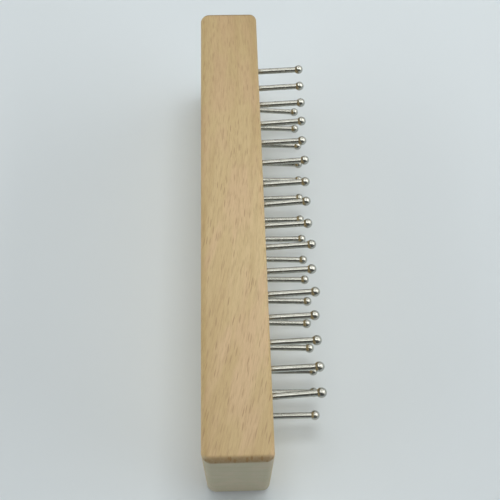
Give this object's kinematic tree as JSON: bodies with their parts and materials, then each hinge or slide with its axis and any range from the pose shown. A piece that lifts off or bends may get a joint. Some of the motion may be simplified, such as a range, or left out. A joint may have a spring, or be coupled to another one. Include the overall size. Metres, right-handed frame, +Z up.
{
  "type": "pin block brush",
  "caption": "Rounded solid beech block with two rows of ball-tipped metal pins pressed into one long face; it stands on a long narrow side.",
  "frame": {"origin": "centre of the long narrow face that the block stands on", "axes": "+X out of the front face, the way the pins point; +Y along the block's length, towards the end where the pins start nearer the block's end; +Z up, from the resting face across the block's height"},
  "size_m": [0.037, 0.16, 0.046],
  "materials": {
    "beech": "fine sanded, almost matt, thin oil or wax",
    "nickel_plated_steel": "bright nickel plate, slightly uneven along the wire"
  },
  "bodies": {
    "root": {"block": "beech", "pin_upper_01": "nickel_plated_steel", "pin_upper_02": "nickel_plated_steel", "pin_upper_03": "nickel_plated_steel", "pin_upper_04": "nickel_plated_steel", "pin_upper_05": "nickel_plated_steel", "pin_upper_06": "nickel_plated_steel", "pin_upper_07": "nickel_plated_steel", "pin_upper_08": "nickel_plated_steel", "pin_upper_09": "nickel_plated_steel", "pin_upper_10": "nickel_plated_steel", "pin_upper_11": "nickel_plated_steel", "pin_upper_12": "nickel_plated_steel", "pin_upper_13": "nickel_plated_steel", "pin_upper_14": "nickel_plated_steel", "pin_upper_15": "nickel_plated_steel", "pin_upper_16": "nickel_plated_steel", "pin_lower_01": "nickel_plated_steel", "pin_lower_02": "nickel_plated_steel", "pin_lower_03": "nickel_plated_steel", "pin_lower_04": "nickel_plated_steel", "pin_lower_05": "nickel_plated_steel", "pin_lower_06": "nickel_plated_steel", "pin_lower_07": "nickel_plated_steel", "pin_lower_08": "nickel_plated_steel", "pin_lower_09": "nickel_plated_steel", "pin_lower_10": "nickel_plated_steel", "pin_lower_11": "nickel_plated_steel", "pin_lower_12": "nickel_plated_steel", "pin_lower_13": "nickel_plated_steel", "pin_lower_14": "nickel_plated_steel", "pin_lower_15": "nickel_plated_steel", "pin_lower_16": "nickel_plated_steel"}
  },
  "joints": []
}
